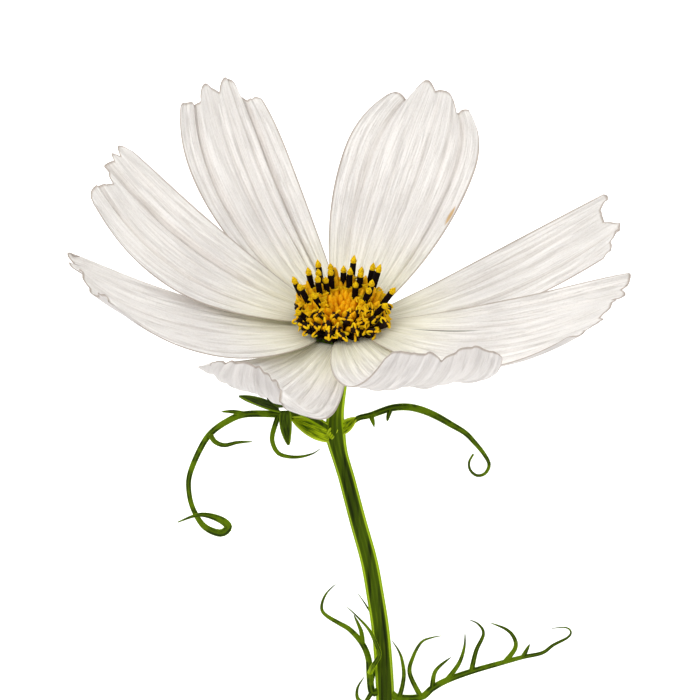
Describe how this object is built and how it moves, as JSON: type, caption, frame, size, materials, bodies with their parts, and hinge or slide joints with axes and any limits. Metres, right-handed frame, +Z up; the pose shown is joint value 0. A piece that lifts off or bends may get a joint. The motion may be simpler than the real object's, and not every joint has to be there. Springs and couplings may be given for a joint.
{
  "type": "cosmos flower",
  "caption": "Picked cosmos flower with broad pleated white petals, a raised orange and brown disc, a side bud and thread-like leaves on a curved stem, lying on its back.",
  "frame": {"origin": "centre of the bounding box, at the surface that the flower lies on", "axes": "+Y from the cut end of the stem towards the flower head, +Z up from the surface"},
  "size_m": [0.0754, 0.1102, 0.0657],
  "materials": {
    "petal_white": "satin, finely veined",
    "floret_orange": "matt",
    "anther_brown": "matt",
    "stem_green": "satin, ridged",
    "leaf_green": "satin",
    "bract_green": "matt",
    "inner_bract_green": "matt, thin"
  },
  "bodies": {
    "root": {"petal_1": "petal_white", "petal_2": "petal_white", "petal_3": "petal_white", "petal_4": "petal_white", "petal_5": "petal_white", "petal_6": "petal_white", "petal_7": "petal_white", "petal_8": "petal_white", "unopened_florets": "floret_orange", "open_floret_01": "anther_brown", "open_floret_02": "anther_brown", "open_floret_03": "anther_brown", "open_floret_04": "anther_brown", "open_floret_05": "anther_brown", "open_floret_06": "anther_brown", "open_floret_07": "anther_brown", "open_floret_08": "anther_brown", "open_floret_09": "anther_brown", "open_floret_10": "anther_brown", "open_floret_11": "anther_brown", "open_floret_12": "anther_brown", "open_floret_13": "anther_brown", "open_floret_14": "anther_brown", "open_floret_15": "anther_brown", "open_floret_16": "anther_brown", "stem": "stem_green", "receptacle": "stem_green", "bud_stalk": "stem_green", "bud_head": "stem_green", "upper_left_leaf": "leaf_green", "upper_right_leaf": "leaf_green", "lower_left_leaf": "leaf_green", "lower_right_leaf": "leaf_green", "outer_bract_1": "bract_green", "outer_bract_2": "bract_green", "outer_bract_3": "bract_green", "outer_bract_4": "bract_green", "outer_bract_5": "bract_green", "outer_bract_6": "bract_green", "outer_bract_7": "bract_green", "outer_bract_8": "bract_green", "bud_bract_1": "bract_green", "bud_bract_2": "bract_green", "bud_bract_3": "bract_green", "bud_bract_4": "bract_green", "bud_bract_5": "bract_green", "bud_bract_6": "bract_green", "inner_bract_1": "inner_bract_green", "inner_bract_2": "inner_bract_green", "inner_bract_3": "inner_bract_green", "inner_bract_4": "inner_bract_green", "inner_bract_5": "inner_bract_green", "inner_bract_6": "inner_bract_green", "inner_bract_7": "inner_bract_green", "inner_bract_8": "inner_bract_green"}
  },
  "joints": []
}
